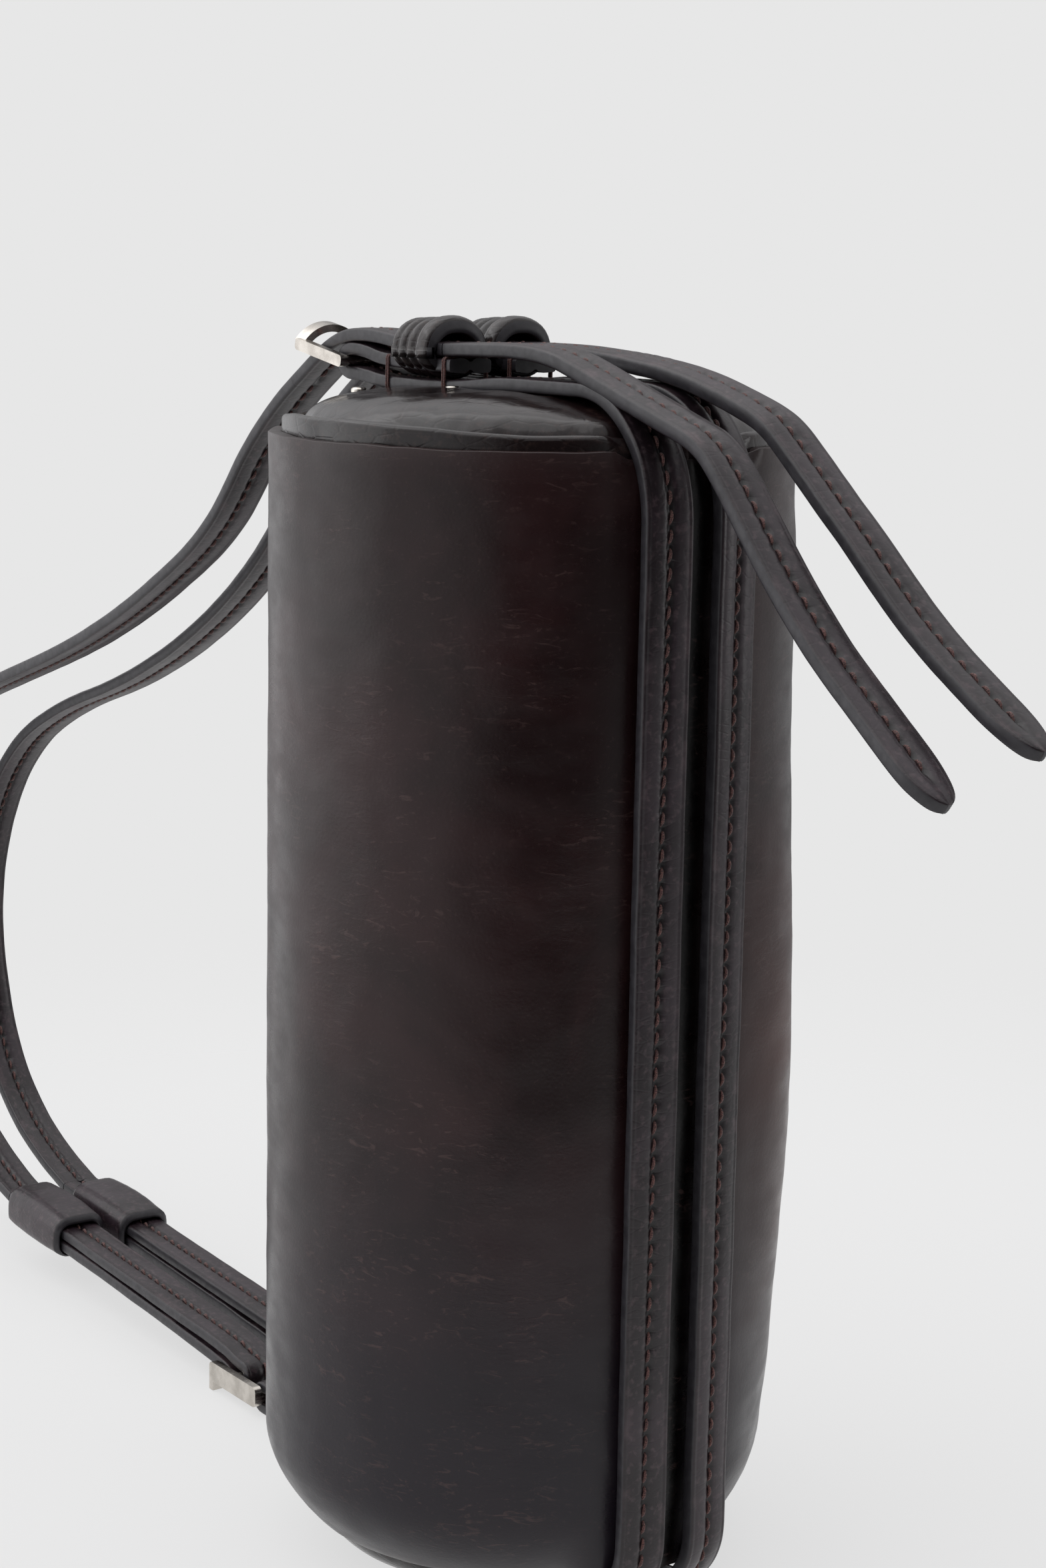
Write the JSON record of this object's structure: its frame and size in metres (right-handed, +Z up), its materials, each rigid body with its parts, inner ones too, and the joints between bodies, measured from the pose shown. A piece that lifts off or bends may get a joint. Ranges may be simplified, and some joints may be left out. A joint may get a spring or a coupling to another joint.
{
  "type": "barrel handbag",
  "caption": "Small barrel-shaped leather handbag with two harness straps, twin shoulder straps, buckles and a zip, standing on a round end.",
  "frame": {"origin": "centre of the barrel's axis on the floor that the lower round end stands on", "axes": "+Z up along the barrel's axis; +Y towards the zip and the shoulder-strap loop; -Y towards the two harness straps; +X to the right-hand strap"},
  "size_m": [0.12, 0.4714, 0.2884],
  "materials": {
    "barrel_leather": "burnished, semi-gloss, fine grain",
    "end_leather": "burnished, semi-gloss, padded",
    "strap_leather": "matt charcoal-brown with painted edges and centre stitching",
    "silver_hardware": "polished nickel",
    "zip_metal": "polished nickel",
    "zip_tape": "woven tape",
    "lining_fabric": "twill lining",
    "stiffener_board": "fibreboard"
  },
  "bodies": {
    "bag": {"anchor_rivets": "silver_hardware", "body_shell": "barrel_leather", "bottom_board": "stiffener_board", "bottom_buckle_left": "silver_hardware", "bottom_buckle_right": "silver_hardware", "bottom_cushion": "end_leather", "bottom_lining_disc": "lining_fabric", "bottom_piping_ring": "end_leather", "harness_strap_left": "strap_leather", "harness_strap_right": "strap_leather", "keeper_left": "strap_leather", "keeper_right": "strap_leather", "lining_tube": "lining_fabric", "shoulder_strap_left": "strap_leather", "shoulder_strap_right": "strap_leather", "slip_pocket": "lining_fabric", "stiffener_tube": "stiffener_board", "strap_head_left": "strap_leather", "strap_head_right": "strap_leather", "strap_leg_left": "strap_leather", "strap_leg_right": "strap_leather", "top_board": "stiffener_board", "top_cushion": "end_leather", "top_lining_disc": "lining_fabric", "top_piping_ring": "end_leather", "zip_stops": "zip_metal", "zip_tape_left": "zip_tape", "zip_tape_right": "zip_tape", "zip_teeth_left": "zip_metal", "zip_teeth_right": "zip_metal"},
    "zip_slider": {"zip_slider": "zip_metal"},
    "zip_puller": {"zip_pull_ring": "zip_metal", "zip_pull_tab": "strap_leather"},
    "top_buckle_left": {"top_buckle_left": "silver_hardware"},
    "sleeve_left": {"sleeve_left": "strap_leather"},
    "tongue_left": {"strap_tongue_left": "strap_leather"},
    "top_buckle_right": {"top_buckle_right": "silver_hardware"},
    "sleeve_right": {"sleeve_right": "strap_leather"},
    "tongue_right": {"strap_tongue_right": "strap_leather"}
  },
  "joints": [
    {"name": "zip_slide", "type": "slide", "parent": "bag", "child": "zip_slider", "axis": [0, 0, -1], "range_m": [0, 0.178]},
    {"name": "zip_pull_swing", "type": "hinge", "parent": "zip_slider", "child": "zip_puller", "pos_m": [0, 0.0627, 0.2335], "axis": [1, 0, 0], "range_deg": [0, 85]},
    {"name": "top_buckle_swing_left", "type": "hinge", "parent": "bag", "child": "top_buckle_left", "pos_m": [-0.00915, 0.05505, 0.2776], "axis": [1, 0, 0], "range_deg": [0, 35]},
    {"name": "sleeve_slide_left", "type": "slide", "parent": "bag", "child": "sleeve_left", "axis": [0, 0.9989, 0.0469], "range_m": [-0.084, 0.002]},
    {"name": "tongue_lift_left", "type": "hinge", "parent": "bag", "child": "tongue_left", "pos_m": [-0.00915, 0.015, 0.2833], "axis": [-1, 0, 0], "range_deg": [0, 60]},
    {"name": "top_buckle_swing_right", "type": "hinge", "parent": "bag", "child": "top_buckle_right", "pos_m": [0.00915, 0.05505, 0.2776], "axis": [1, 0, 0], "range_deg": [0, 35]},
    {"name": "sleeve_slide_right", "type": "slide", "parent": "bag", "child": "sleeve_right", "axis": [0, 0.9989, 0.0469], "range_m": [-0.078, 0.008]},
    {"name": "tongue_lift_right", "type": "hinge", "parent": "bag", "child": "tongue_right", "pos_m": [0.00915, 0.015, 0.2833], "axis": [-1, 0, 0], "range_deg": [0, 60]}
  ]
}
